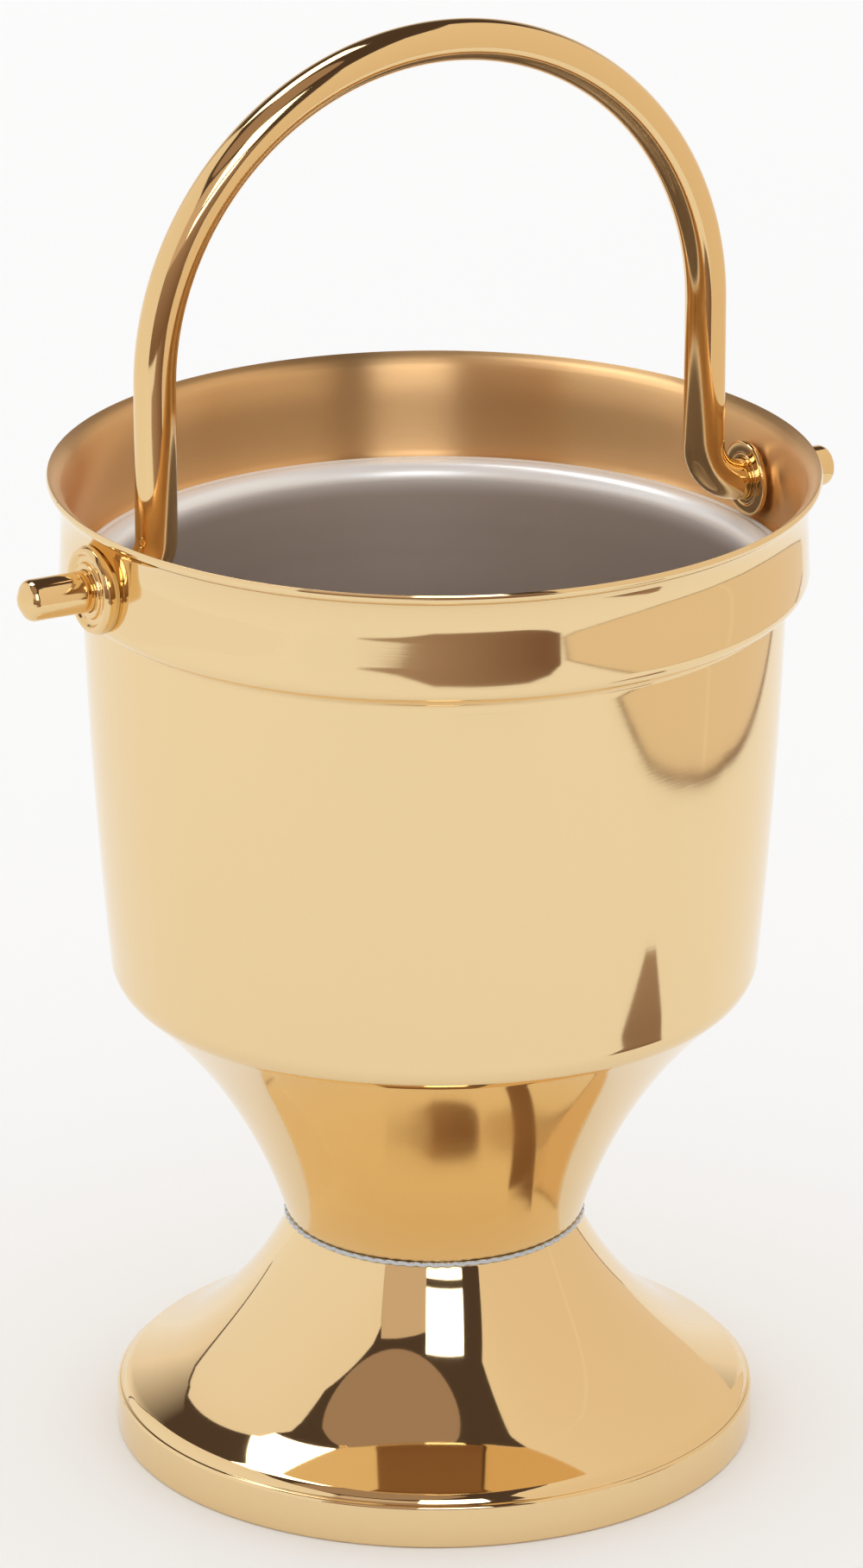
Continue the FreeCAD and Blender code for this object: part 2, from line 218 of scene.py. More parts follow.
def quarter(radius: float) -> float:
    """Bulge of a quarter round of a radius."""
    return (1 - math.sqrt(0.5)) * radius


def rounded_section(corners: Sequence[Point], ease: float) -> list[Point]:
    """A closed polygon section with every corner rounded alike.

    Args:
        corners: The polygon's corners, in order.
        ease: How far from each corner its rounding begins.

    Returns:
        Points of the rounded section.
    """
    count = len(corners)
    section: list[Point] = []
    for index, corner in enumerate(corners):
        here = Vector(corner)
        back = Vector(corners[index - 1])
        ahead = Vector(corners[(index + 1) % count])
        start = here + (back - here).normalized() * min(ease, (back - here).length * 0.45)
        end = here + (ahead - here).normalized() * min(ease, (ahead - here).length * 0.45)
        for number in range(5):
            t = number / 4
            point = start.lerp(here, t).lerp(here.lerp(end, t), t)
            section.append((point.x, point.y))
    return section


# ------------------------------------------------------------------ meshes

def mesh_piece(name: str, vertices: Sequence[Sequence[float]],
               faces: Sequence[Sequence[int]], smooth_angle: float = 180.0) -> bpy.types.Object:
    """Make a smooth-shaded mesh object.

    Args:
        name: The piece's name.
        vertices: Its corners.
        faces: Its faces, as corner numbers.
        smooth_angle: Edges sharper than this many degrees stay crisp.

    Returns:
        The new object, linked to the scene.
    """
    mesh = bpy.data.meshes.new(name)
    mesh.from_pydata([tuple(vertex) for vertex in vertices], [], faces)
    mesh.polygons.foreach_set("use_smooth", [True] * len(mesh.polygons))
    if smooth_angle < 180.0:
        mesh.set_sharp_from_angle(angle=math.radians(smooth_angle))
    mesh.validate()
    mesh.update()
    piece = bpy.data.objects.new(name, mesh)
    bpy.context.scene.collection.objects.link(piece)
    return piece


def grid_faces(rows: int, columns: int, wrap_rows: bool, wrap_columns: bool = True,
               base: int = 0) -> list[tuple[int, int, int, int]]:
    """Quads over a grid of vertices stored row by row.

    Args:
        rows: Number of rows.
        columns: Number of vertices in a row.
        wrap_rows: Whether the last row joins the first.
        wrap_columns: Whether each row closes on itself.
        base: Number of the grid's first vertex.

    Returns:
        The faces.
    """
    faces = []
    for row in range(rows if wrap_rows else rows - 1):
        below = base + row * columns
        above = base + (row + 1) % rows * columns
        for column in range(columns if wrap_columns else columns - 1):
            beside = (column + 1) % columns
            faces.append((below + column, below + beside, above + beside, above + column))
    return faces


def turned(name: str, section: Sequence[Point], closed: bool = True,
           segments: int = SEGMENTS,
           swell: Callable[[float, float, float], float] | None = None,
           smooth_angle: float = 180.0) -> bpy.types.Object:
    """Spin a section round the Z axis.

    Args:
        name: The piece's name.
        section: Points of radius and height, running anticlockwise.
        closed: Whether the section is a ring; an open one starts and ends on the axis.
        segments: How many steps make the full turn.
        swell: Optional change of radius for (radius, height, turn).
        smooth_angle: Edges sharper than this many degrees stay crisp.

    Returns:
        The turned piece.
    """
    vertices: list[tuple[float, float, float]] = []
    rings = list(section) if closed else list(section[1:-1])
    for radius, height in rings:
        for index in range(segments):
            turn = FULL_TURN * index / segments
            reach = radius + (swell(radius, height, turn) if swell else 0.0)
            vertices.append((reach * math.cos(turn), reach * math.sin(turn), height))
    faces: list[tuple[int, ...]] = list(grid_faces(len(rings), segments, closed))
    if not closed:
        first, last = len(vertices), len(vertices) + 1
        vertices.append((0.0, 0.0, section[0][1]))
        vertices.append((0.0, 0.0, section[-1][1]))
        top = (len(rings) - 1) * segments
        for index in range(segments):
            beside = (index + 1) % segments
            faces.append((first, beside, index))
            faces.append((last, top + index, top + beside))
    return mesh_piece(name, vertices, faces, smooth_angle)


def settle(piece: bpy.types.Object, placement: Matrix) -> None:
    """Move a piece's mesh itself, so that its object stays at the origin."""
    piece.data.transform(placement)
    piece.data.update()


def face_outward(piece: bpy.types.Object) -> None:
    """Turn a closed mesh's faces so that they all look outward.

    Args:
        piece: The piece.
    """
    work = bmesh.new()
    work.from_mesh(piece.data)
    bmesh.ops.recalc_face_normals(work, faces=work.faces)
    work.to_mesh(piece.data)
    work.free()


# ------------------------------------------------------------------ places from the frame

@dataclass(frozen=True)
class Datum:
    """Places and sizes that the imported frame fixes.

    Attributes:
        rim_radius: Outermost radius of the lip.
        total_height: Height of the lip's top.
        waist_height: Underside of the bowl's floor.
        foot_radius: Radius of the foot's band.
        foot_top: Top of the foot's crown.
        ring_radius: Radius of the joint ring.
        liner_flange: Radius of the liner's flange.
        liner_base: Underside of the liner's floor.
        liner_top: Top of the liner's flange.
        pivot_height: Height of the bail's pivot.
        rod_radius: Radius of the bail's rod.
        stub_reach: Distance from the axis to a stub's end.
        crown_top: Highest point of the bail.
        bush_face: Outer face of a bush's flange, along the pivot.
        bush_end: Inner end of a bush's barrel, along the pivot.
        bush_flange: Radius of a bush's flange.
        washer_back: Wall side of a bush washer, along the pivot.
        washer_radius: Radius of a bush washer.
    """

    rim_radius: float
    total_height: float
    waist_height: float
    foot_radius: float
    foot_top: float
    ring_radius: float
    liner_flange: float
    liner_base: float
    liner_top: float
    pivot_height: float
    rod_radius: float
    stub_reach: float
    crown_top: float
    bush_face: float
    bush_end: float
    bush_flange: float
    washer_back: float
    washer_radius: float

    @classmethod
    def read(cls) -> "Datum":
        """Measure the frame's nodes and its joint.

        Returns:
            The places and sizes.
        """
        bowl_low, bowl_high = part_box("bowl_shell")
        _, foot_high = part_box("foot_shell")
        _, ring_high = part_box("joint_ring")
        liner_low, liner_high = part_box("liner")
        _, bail_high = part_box("bail_handle")
        bush_low, bush_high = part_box("bush_right")
        _, washer_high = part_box("bush_washer_right")
        return cls(
            rim_radius=bowl_high.y,
            total_height=bowl_high.z,
            waist_height=bowl_low.z,
            foot_radius=foot_high.y,
            foot_top=foot_high.z,
            ring_radius=ring_high.y,
            liner_flange=liner_high.y,
            liner_base=liner_low.z,
            liner_top=liner_high.z,
            pivot_height=frame["joints"][0]["pos_m"][2],
            rod_radius=bail_high.y,
            stub_reach=bail_high.x,
            crown_top=bail_high.z,
            bush_face=bush_high.x,
            bush_end=bush_low.x,
            bush_flange=bush_high.y,
            washer_back=washer_high.x,
            washer_radius=washer_high.y,
        )


# ------------------------------------------------------------------ shader tools

class Bench:
    """A material's or group's node tree, with short calls to add and join nodes."""

    def __init__(self, tree: bpy.types.NodeTree) -> None:
        """Clear a node tree for use."""
        self.tree = tree
        tree.nodes.clear()

    def add(self, kind: str, settings: dict | None = None, **inputs: object) -> bpy.types.Node:
        """Add a node.

        Args:
            kind: The node's class name.
            settings: Properties to set on it.
            **inputs: Values or sockets for its inputs, with _ for a space in the name.

        Returns:
            The node.
        """
        node = self.tree.nodes.new(kind)
        for key, setting in (settings or {}).items():
            setattr(node, key, setting)
        for key, given in inputs.items():
            self.feed(node.inputs[key.replace("_", " ")], given)
        return node

    def feed(self, socket: bpy.types.NodeSocket, given: object) -> None:
        """Give a socket a value, or link another socket to it.

        Args:
            socket: The input.
            given: A value, or the output to link.
        """
        if isinstance(given, bpy.types.NodeSocket):
            self.tree.links.new(given, socket)
        else:
            socket.default_value = given

    def sum(self, operation: str, *terms: object) -> bpy.types.NodeSocket:
        """Add a Math node over sockets or numbers and return its output.

        Args:
            operation: The Math node's operation.
            *terms: Its inputs, as sockets or numbers.

        Returns:
            Its output.
        """
        node = self.tree.nodes.new("ShaderNodeMath")
        node.operation = operation
        for socket, term in zip(node.inputs, terms):
            self.feed(socket, term)
        return node.outputs[0]

    def blend(self, share: object, one: object, two: object,
              mode: str = "MIX") -> bpy.types.NodeSocket:
        """Mix two colours and return the result's socket.

        Args:
            share: How much of the second colour.
            one: The first colour, or its socket.
            two: The second colour, or its socket.
            mode: The Mix node's blend type.

        Returns:
            The mixed colour.
        """
        node = self.tree.nodes.new("ShaderNodeMix")
        node.data_type = "RGBA"
        node.blend_type = mode
        self.feed(node.inputs[0], share)
        self.feed(node.inputs[6], one)
        self.feed(node.inputs[7], two)
        return node.outputs[2]

    def place(self, group: bpy.types.NodeTree, **inputs: object) -> bpy.types.Node:
        """Place a shared group with its own values.

        Args:
            group: The shared group.
            **inputs: Values or sockets for its inputs, with _ for a space in the name.

        Returns:
            The group's node.
        """
        node = self.tree.nodes.new("ShaderNodeGroup")
        node.node_tree = group
        for key, given in inputs.items():
            self.feed(node.inputs[key.replace("_", " ")], given)
        return node


class SharedGroups:
    """Shader groups that several finishes use, each made once."""

    def __init__(self) -> None:
        """Make the groups."""
        self.spin_lines = self._spin_lines()
        self.handling = self._handling()

    @staticmethod
    def _start(name: str, inputs: dict[str, tuple[str, object]],
               outputs: dict[str, str]) -> tuple[Bench, bpy.types.Node, bpy.types.Node]:
        """Open a group with named sockets and return its bench, entry and exit.

        Args:
            name: The group's name.
            inputs: Each input's kind of socket and its usual value, if it has one.
            outputs: Each output's kind of socket.

        Returns:
            The group's bench, its entry node and its exit node.
        """
        group = bpy.data.node_groups.new(name, "ShaderNodeTree")
        bench = Bench(group)
        for key, (kind, given) in inputs.items():
            socket = group.interface.new_socket(key, in_out="INPUT", socket_type=kind)
            if given is not None:
                socket.default_value = given
        for key, kind in outputs.items():
            group.interface.new_socket(key, in_out="OUTPUT", socket_type=kind)
        return bench, bench.add("NodeGroupInput"), bench.add("NodeGroupOutput")

    def _spin_lines(self) -> bpy.types.NodeTree:
        """Fine rings left by a tool on turned or spun metal, round the Z axis.

        Returns:
            The group.
        """
        bench, entry, leave = self._start(
            "spin_lines",
            {"Place": ("NodeSocketVector", None), "Lines": ("NodeSocketFloat", 900.0),
             "Drift": ("NodeSocketFloat", 1.5)},
            {"Height": "NodeSocketFloat", "Streak": "NodeSocketFloat"})
        split = bench.add("ShaderNodeSeparateXYZ", Vector=entry.outputs["Place"])
        x, y, z = split.outputs
        radius = bench.sum("SQRT", bench.sum(
            "ADD", bench.sum("MULTIPLY", x, x), bench.sum("MULTIPLY", y, y)))
        lines = entry.outputs["Lines"]
        drift = entry.outputs["Drift"]
        turn = bench.sum("ARCTAN2", y, x)
        across = bench.add("ShaderNodeCombineXYZ",
                           X=bench.sum("MULTIPLY", radius, lines),
                           Y=bench.sum("MULTIPLY", z, lines),
                           Z=bench.sum("MULTIPLY", bench.sum("COSINE", turn), drift))
        fine = bench.add("ShaderNodeTexNoise", Vector=across.outputs[0], Scale=2.2,
                         Detail=3.0, Roughness=0.65)
        broad = bench.add("ShaderNodeTexNoise", Vector=across.outputs[0], Scale=0.22,
                          Detail=2.0, Roughness=0.5)
        bench.feed(leave.inputs["Height"], fine.outputs["Fac"])
        bench.feed(leave.inputs["Streak"], broad.outputs["Fac"])
        return bench.tree

    def _handling(self) -> bpy.types.NodeTree:
        """Faint haze, wipe marks and specks on a handled, lacquered surface.

        Returns:
            The group.
        """
        bench, entry, leave = self._start(
            "handling",
            {"Place": ("NodeSocketVector", None), "Size": ("NodeSocketFloat", 30.0)},
            {"Haze": "NodeSocketFloat", "Specks": "NodeSocketFloat"})
        cloud = bench.add("ShaderNodeTexNoise", Vector=entry.outputs["Place"],
                          Scale=entry.outputs["Size"], Detail=4.0, Roughness=0.6,
                          Distortion=0.8)
        haze = bench.add("ShaderNodeMapRange", Value=cloud.outputs["Fac"],
                         From_Min=0.42, From_Max=0.75)
        dust = bench.add("ShaderNodeTexVoronoi", Vector=entry.outputs["Place"],
                         Scale=bench.sum("MULTIPLY", entry.outputs["Size"], 9.0))
        specks = bench.add("ShaderNodeMapRange", Value=dust.outputs["Distance"],
                           From_Min=0.06, From_Max=0.02)
        bench.feed(leave.inputs["Haze"], haze.outputs[0])
        bench.feed(leave.inputs["Specks"], specks.outputs[0])
        return bench.tree


# ------------------------------------------------------------------ finishes

class Metal(Enum):
    """Base colours of the pot's metals, linear; the brushed brass is partly its own colour and
    partly a painted reflection.
    """

    GOLD_BRASS = (0.86, 0.65, 0.36, 1.0)
    ROD_BRASS = (0.84, 0.60, 0.30, 1.0)
    # Brushed brass of the collar's inside: partly its own colour, partly a painted reflection of
    # brass in brass, which makes it more orange.
    BRUSHED_BRASS_WITH_PAINTED_REFLECTION = (0.90, 0.57, 0.27, 1.0)
    DARK_STEEL = (0.56, 0.58, 0.61, 1.0)
    ZINC = (0.62, 0.63, 0.65, 1.0)


@dataclass(frozen=True)
class TurnedMetal:
    """Metal spun or turned round the Z axis.

    Attributes:
        name: The material's name.
        metal: Which metal.
        gloss_roughness: Roughness where it is cleanest.
        haze_roughness: Roughness added where it is hazy.
        lines: How many tool lines in a metre.
        line_depth: Height of the tool lines.
        streak: How far broad rings change the roughness.
        tint: How far the colour drifts from place to place.
        grain: How far reflections spread across the tool lines.
        metallic: Below 1 for a surface dulled by a fine matt skin.
        deepening: Power that deepens the colour where it is hazy.
        grain_turn: Turn of the grain from the tool lines, as a share of a full turn.
    """

    name: str
    metal: Metal
    gloss_roughness: float
    haze_roughness: float
    lines: float
    line_depth: float
    streak: float
    tint: float = 0.05
    grain: float = 0.0
    metallic: float = 1.0
    deepening: float = 1.25
    grain_turn: float = 0.25

    def make(self, shared: SharedGroups) -> bpy.types.Material:
        """Build the material.

        Args:
            shared: The shared shader groups.

        Returns:
            The material.
        """
        material = bpy.data.materials.new(self.name)
        material.use_nodes = True
        bench = Bench(material.node_tree)
        where = bench.add("ShaderNodeTexCoord").outputs["Object"]
        rings = bench.place(shared.spin_lines, Place=where, Lines=self.lines)
        marks = bench.place(shared.handling, Place=where)
        deep = tuple(channel ** self.deepening for channel in self.metal.value[:3]) + (1.0,)
        colour = bench.blend(
            bench.sum("MULTIPLY", marks.outputs["Haze"], self.tint), self.metal.value, deep)
        hazy = bench.sum("MULTIPLY", marks.outputs["Haze"], self.haze_roughness)
        ringed = bench.sum("MULTIPLY", rings.outputs["Streak"], self.streak)
        roughness = bench.sum("ADD", bench.sum("ADD", hazy, ringed), self.gloss_roughness)
        bump = bench.add("ShaderNodeBump", Strength=1.0, Distance=self.line_depth,
                         Height=rings.outputs["Height"])
        shader = bench.add("ShaderNodeBsdfPrincipled", Base_Color=colour, Metallic=self.metallic,
                           Roughness=roughness, Normal=bump.outputs[0])
        if self.grain:
            around_axis = bench.add("ShaderNodeTangent",
                                    {"direction_type": "RADIAL", "axis": "Z"})
            bench.feed(shader.inputs["Anisotropic"], self.grain)
            bench.feed(shader.inputs["Anisotropic Rotation"], self.grain_turn)
            bench.feed(shader.inputs["Tangent"], around_axis.outputs[0])
        bench.add("ShaderNodeOutputMaterial", Surface=shader.outputs[0])
        return material


@dataclass(frozen=True)
class DrawnAluminium:
    """Drawn aluminium: its inside painted darker and warmer as painted shade and painted brass
    reflection, its flange and mouth painted near white as a painted highlight.

    Attributes:
        name: The material's name.
        painted_highlight_from: Height above which the flange's painted highlight begins.
        dull: Colour of the inside: the satin metal painted darker and warmer as painted shade
            and painted brass reflection.
        stained: Colour of its stains.
        bright: Colour of the flange, painted near white as a painted highlight.
        fade: Height over which the inside's painted shade turns to the flange's painted
            highlight.
        stain: How strong the stains are.
        streak: How far broad rings change the roughness.
        roughness: Roughness of the inside.
        polish: How much smoother the flange is.
        dull_metallic: How metallic the inside is.
        bright_metallic: How metallic the flange is.
        lines: How many tool lines in a metre.
        line_depth: Height of the tool lines.
    """

    name: str
    painted_highlight_from: float
    dull: Rgba = (0.60, 0.54, 0.50, 1.0)
    stained: Rgba = (0.34, 0.31, 0.29, 1.0)
    bright: Rgba = (0.97, 0.97, 0.96, 1.0)
    fade: float = 0.005
    stain: float = 0.12
    streak: float = 0.14
    roughness: float = 0.36
    polish: float = 0.12
    dull_metallic: float = 0.75
    bright_metallic: float = 0.25
    lines: float = 1300.0
    line_depth: float = 0.000004

    def make(self, shared: SharedGroups) -> bpy.types.Material:
        """Build the material.

        Args:
            shared: The shared shader groups.

        Returns:
            The material.
        """
        material = bpy.data.materials.new(self.name)
        material.use_nodes = True
        bench = Bench(material.node_tree)
        where = bench.add("ShaderNodeTexCoord").outputs["Object"]
        rings = bench.place(shared.spin_lines, Place=where, Lines=self.lines)
        marks = bench.place(shared.handling, Place=where, Size=24.0)
        height = bench.add("ShaderNodeSeparateXYZ", Vector=where).outputs["Z"]
        # Mask of the flange and mouth, where the painted highlight and the polish go.
        flange_painted_highlight_mask = bench.add("ShaderNodeMapRange", {"interpolation_type": "SMOOTHSTEP"},
                         Value=height, From_Min=self.painted_highlight_from - self.fade,
                         From_Max=self.painted_highlight_from)
        shade = bench.sum("MULTIPLY", marks.outputs["Haze"], self.stain)
        # The inside: painted shade and painted brass reflection, with real stains where the haze
        # is.
        dull = bench.blend(shade, self.dull, self.stained)
        # Painted highlight: the flange and mouth painted near white.
        colour = bench.blend(flange_painted_highlight_mask.outputs[0], dull, self.bright)
        ringed = bench.sum("MULTIPLY", rings.outputs["Streak"], self.streak)
        roughness = bench.sum("SUBTRACT", bench.sum("ADD", ringed, self.roughness),
                              bench.sum("MULTIPLY", flange_painted_highlight_mask.outputs[0], self.polish))
        shine = self.dull_metallic - self.bright_metallic
        metallic = bench.sum("SUBTRACT", self.dull_metallic,
                             bench.sum("MULTIPLY", flange_painted_highlight_mask.outputs[0], shine))
        bump = bench.add("ShaderNodeBump", Strength=1.0, Distance=self.line_depth,
                         Height=rings.outputs["Height"])
        shader = bench.add("ShaderNodeBsdfPrincipled", Base_Color=colour,
                           Metallic=metallic, Roughness=roughness, Normal=bump.outputs[0])
        bench.add("ShaderNodeOutputMaterial", Surface=shader.outputs[0])
        return material


# ------------------------------------------------------------------ pot

def dress(piece: bpy.types.Object, material: bpy.types.Material, slot: str, body: str,
          *nodes: str) -> None:
    """Finish a piece: material, body and the nodes that it stands for.

    Args:
        piece: The piece.
        material: Its finish.
        slot: The record's material slot; not used.
        body: The body it rides on.
        *nodes: The CAD nodes it replaces.
    """
    piece.data.materials.append(material)
    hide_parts(*nodes)
    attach(piece, body)
    log.info("%s: %d vertices on %s", piece.name, len(piece.data.vertices), body)


@dataclass
class Bowl:
    """Spun bowl with a rolled lip, flared neck, collar, ledge, wall and taper."""

    datum: Datum
    sheet: float = 0.0012
    lip_roll: float = 0.00125
    flare_hollow: float = 0.0005
    neck_inset: float = 0.00255
    neck_drop: float = 0.0057
    neck_ease: float = 0.0034
    collar_inset: float = 0.002
    collar_drop: float = 0.018
    collar_corner: float = 0.003
    crease_drop: float = 0.0012
    wall_inset: float = 0.0059
    wall_taper: float = 0.004
    wall_bulge: float = 0.00055
    wall_height: float = 0.067
    shoulder_inset: float = 0.0027
    shoulder_depth: float = 0.0057
    shoulder_bulge: float = 0.0008
    taper_hollow: float = 0.00355
    waist_radius: float = 0.0261
    clamp_hole: float = 0.0033
    lip_polish: float = 0.0006
    lip_steps: int = 28
    profile: list[Point] = field(default_factory=list)

    def build(self, material: bpy.types.Material, brushed: bpy.types.Material) -> None:
        """Make the bowl's mesh and dress it.

        Args:
            material: Finish of the outside and the lip.
            brushed: Finish of the collar's inside.
        """
        rim = self.datum.rim_radius
        top = self.datum.total_height
        collar = rim - self.collar_inset
        ledge = top - self.collar_drop - self.collar_corner
        wall = rim - self.wall_inset
        wall_foot = ledge - self.wall_height
        shell = Outline([
            Station(rim - 0.26 * self.lip_roll, top - 1.66 * self.lip_roll,
                    bulge=-self.flare_hollow),
            Station(rim - self.neck_inset, top - self.neck_drop, ease=self.neck_ease),
            Station(collar, top - self.collar_drop, bulge=quarter(self.collar_corner)),
            Station(collar - self.collar_corner, ledge, ease=0.0003),
            Station(wall, ledge - self.crease_drop, bulge=self.wall_bulge, ease=0.0004),
            Station(wall - self.wall_taper, wall_foot, bulge=self.shoulder_bulge,
                    ease=0.0015),
            Station(wall - self.wall_taper - self.shoulder_inset,
                    wall_foot - self.shoulder_depth, bulge=-self.taper_hollow, ease=0.0012),
            Station(self.waist_radius, self.datum.waist_height, ease=0.0005),
            Station(self.clamp_hole, self.datum.waist_height),
        ])
        outside = shell.eased()
        inside = shell.offset(-self.sheet).eased()
        self.profile = outside
        section = self._lip(outside[0], inside[0]) + outside[1:] + inside[:0:-1]
        piece = turned("bowl", section)
        face_outward(piece)
        dress(piece, material, "bowl_brass", POT_BODY, "bowl_shell")
        piece.data.materials.append(brushed)
        for face in piece.data.polygons:
            inward = face.center.x * face.normal.x + face.center.y * face.normal.y < 0
            if inward and face.center.z < top - self.lip_polish:
                face.material_index = 1

    def radius_at(self, height: float) -> float:
        """Outer radius of the lip, neck or collar at a height.

        Args:
            height: Height above the foot's resting plane.

        Returns:
            The radius.
        """
        for (wide, above), (narrow, below) in zip(self.profile, self.profile[1:]):
            if below <= height <= above:
                share = (above - height) / max(above - below, 1e-9)
                return wide + (narrow - wide) * share
        return self.profile[0][0]

    def _lip(self, outer: Point, inner: Point) -> list[Point]:
        """The roll over the sheet's edge, from its inner side round to its outer side.

        Args:
            outer: Where the outside of the sheet meets the roll.
            inner: Where the inside of the sheet meets it.

        Returns:
            The roll's points.
        """
        centre = Vector((self.datum.rim_radius - self.lip_roll,
                         self.datum.total_height - self.lip_roll))
        start = math.atan2(inner[1] - centre.y, inner[0] - centre.x) % FULL_TURN
        end = math.atan2(outer[1] - centre.y, outer[0] - centre.x)
        turns = [start + (end - start) * index / self.lip_steps
                 for index in range(self.lip_steps + 1)]
        return [(centre.x + self.lip_roll * math.cos(turn),
                 centre.y + self.lip_roll * math.sin(turn)) for turn in turns]


@dataclass
class Foot:
    """Spun bell foot with an upright band and an in-turned hem."""

    datum: Datum
    sheet: float = 0.0012
    clamp_hole: float = 0.0033
    neck_radius: float = 0.0256
    instep_hollow: float = 0.0021
    instep_inset: float = 0.0086
    instep_rise: float = 0.0049
    tread_hollow: float = 0.00022
    brow_inset: float = 0.0021
    brow_rise: float = 0.0023
    brow_bulge: float = 0.00015
    band_height: float = 0.0072
    band_corner: float = 0.0007
    hem_width: float = 0.0032

    def build(self, material: bpy.types.Material) -> None:
        """Make the foot's mesh and dress it.

        Args:
            material: The finish.
        """
        edge = self.datum.foot_radius
        brow_radius = edge - self.brow_inset
        brow_height = self.band_height + self.brow_rise
        corner = quarter(self.band_corner)
        shell = Outline([
            Station(self.clamp_hole, self.datum.foot_top),
            Station(self.neck_radius, self.datum.foot_top, bulge=-self.instep_hollow,
                    ease=0.0005),
            Station(brow_radius - self.instep_inset, brow_height + self.instep_rise,
                    bulge=-self.tread_hollow, ease=0.0012),
            Station(brow_radius, brow_height, bulge=self.brow_bulge, ease=0.0006),
            Station(edge - self.band_corner, self.band_height + self.band_corner,
                    bulge=corner),
            Station(edge, self.band_height),
            Station(edge, self.band_corner, bulge=corner),
            Station(edge - self.band_corner, 0.0),
            Station(edge - self.hem_width, 0.0),
        ], step=0.0004)
        section = shell.eased() + shell.offset(-self.sheet).eased()[::-1]
        piece = turned("foot", section)
        face_outward(piece)
        dress(piece, material, "foot_brass", POT_BODY, "foot_shell")


@dataclass
class JointRing:
    """Pale metal ring between bowl and foot, its edge a fine row of beads."""

    datum: Datum
    bore: float = 0.0033
    beads: int = 72
    bead_depth: float = 0.00042
    unevenness: float = 0.35
    ease: float = 0.0002

    def build(self, material: bpy.types.Material) -> None:
        """Make the ring's mesh and dress it.

        Args:
            material: The finish.
        """
        edge = self.datum.ring_radius
        low, high = self.datum.foot_top, self.datum.waist_height
        section = rounded_section(
            [(self.bore, low), (edge, low), (edge, high), (self.bore, high)], self.ease)
        piece = turned("joint_ring_beaded", section, segments=self.beads * 8,
                       swell=self._bead)
        dress(piece, material, "ring_steel", POT_BODY, "joint_ring")

    def _bead(self, radius: float, _height: float, turn: float) -> float:
        """How far the edge dips between two beads.

        Args:
            radius: Radius of the point.
            _height: Its height, which changes nothing.
            turn: Its angle round the axis.

        Returns:
            The change of radius, 0 or less.
        """
        if radius < self.datum.ring_radius - 2 * self.ease:
            return 0.0
        uneven = 1 + self.unevenness * math.sin(11 * turn) * math.sin(17 * turn)
        return -self.bead_depth * uneven * (1 - abs(math.sin(turn * self.beads / 2)))


@dataclass
class Liner:
    """Drawn cup inside the bowl, with a flat flange and a soft mouth."""

    datum: Datum
    sheet: float = 0.0008
    edge: float = 0.0007
    mouth: float = 0.0582
    draft: float = 0.0024
    mouth_corner: float = 0.003
    floor_corner: float = 0.007
    flange_groove: float = 0.00018

    def build(self, material: bpy.types.Material) -> None:
        """Make the liner's mesh and dress it.

        Args:
            material: The finish.
        """
        top = self.datum.liner_top
        seat = top - self.sheet
        flange = self.datum.liner_flange
        floor = self.datum.liner_base + self.sheet
        foot = self.mouth - self.draft
        inner_mouth = self.mouth - self.sheet
        flat = foot - self.sheet - self.floor_corner
        groove = (flange + inner_mouth + self.mouth_corner) / 2
        skin = Outline([
            Station(0.0, self.datum.liner_base),
            Station(flat, self.datum.liner_base,
                    bulge=-quarter(self.floor_corner + self.sheet)),
            Station(foot, floor + self.floor_corner),
            Station(self.mouth, top - self.mouth_corner,
                    bulge=quarter(self.mouth_corner - self.sheet)),
            Station(inner_mouth + self.mouth_corner, seat),
            Station(flange - self.edge, seat, bulge=-quarter(self.edge)),
            Station(flange, seat + self.edge),
            Station(flange, top, ease=0.00008),
            Station(groove + 0.0004, top),
            Station(groove, top - self.flange_groove, ease=0.0002),
            Station(groove - 0.0004, top),
            Station(inner_mouth + self.mouth_corner, top,
                    bulge=-quarter(self.mouth_corner)),
            Station(inner_mouth, top - self.mouth_corner),
            Station(foot - self.sheet, floor + self.floor_corner,
                    bulge=quarter(self.floor_corner)),
            Station(flat, floor),
            Station(0.0, floor),
        ])
        piece = turned("liner_cup", skin.eased(), closed=False)
        face_outward(piece)
        dress(piece, material, "liner_aluminium", POT_BODY, "liner")


